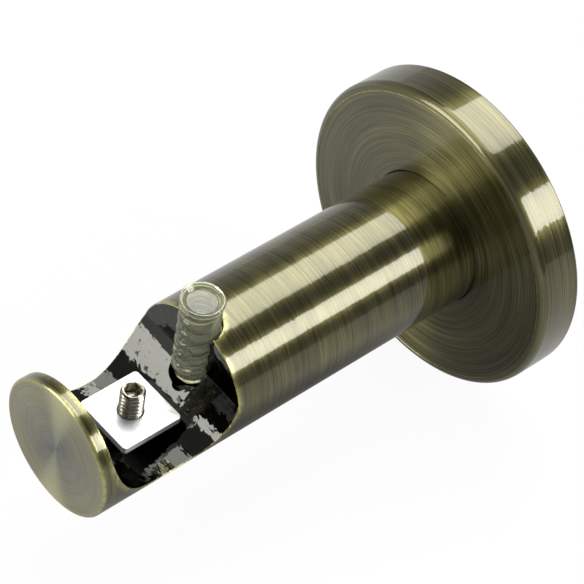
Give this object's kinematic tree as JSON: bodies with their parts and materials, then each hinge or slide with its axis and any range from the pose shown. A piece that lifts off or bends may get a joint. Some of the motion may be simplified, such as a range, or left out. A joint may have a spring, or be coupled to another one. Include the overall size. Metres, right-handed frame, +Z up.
{
  "type": "curtain pole bracket",
  "caption": "Wall bracket for a curtain pole: a round arm on a round rose, with an open pole seat, a square nut on a grub screw and a clear screw that bites on the pole.",
  "frame": {"origin": "middle of the wall face, on the arm's axis", "axes": "+Z up, -Y out from the wall along the arm, X along the pole"},
  "size_m": [0.065, 0.1, 0.065],
  "materials": {
    "antique_brass": "brushed and lacquered antique brass, glossy black in the seat",
    "rose_brass": "brushed and lacquered antique brass",
    "plate_steel": "zinc plated steel",
    "screw_steel": "zinc plated steel",
    "bright_zinc": "bright zinc plated steel",
    "nickel": "nickel plated steel",
    "clear_plastic": "clear moulded plastic"
  },
  "bodies": {
    "bracket": {"arm": "antique_brass", "rose": "rose_brass", "wall_plate": "plate_steel", "centre_screw": "screw_steel", "rose_grub_screw": "screw_steel"},
    "grub_and_nut": {"square_nut": "bright_zinc", "nut_grub_screw": "nickel"},
    "clear_screw": {"clamp_screw": "clear_plastic"}
  },
  "joints": [
    {"name": "grub_screw_lift", "type": "slide", "parent": "bracket", "child": "grub_and_nut", "axis": [0, 0, 1], "range_m": [-0.0018, 0.003]},
    {"name": "clear_screw_drive", "type": "slide", "parent": "bracket", "child": "clear_screw", "axis": [0, 0, 1], "range_m": [-0.0061, 0]}
  ]
}
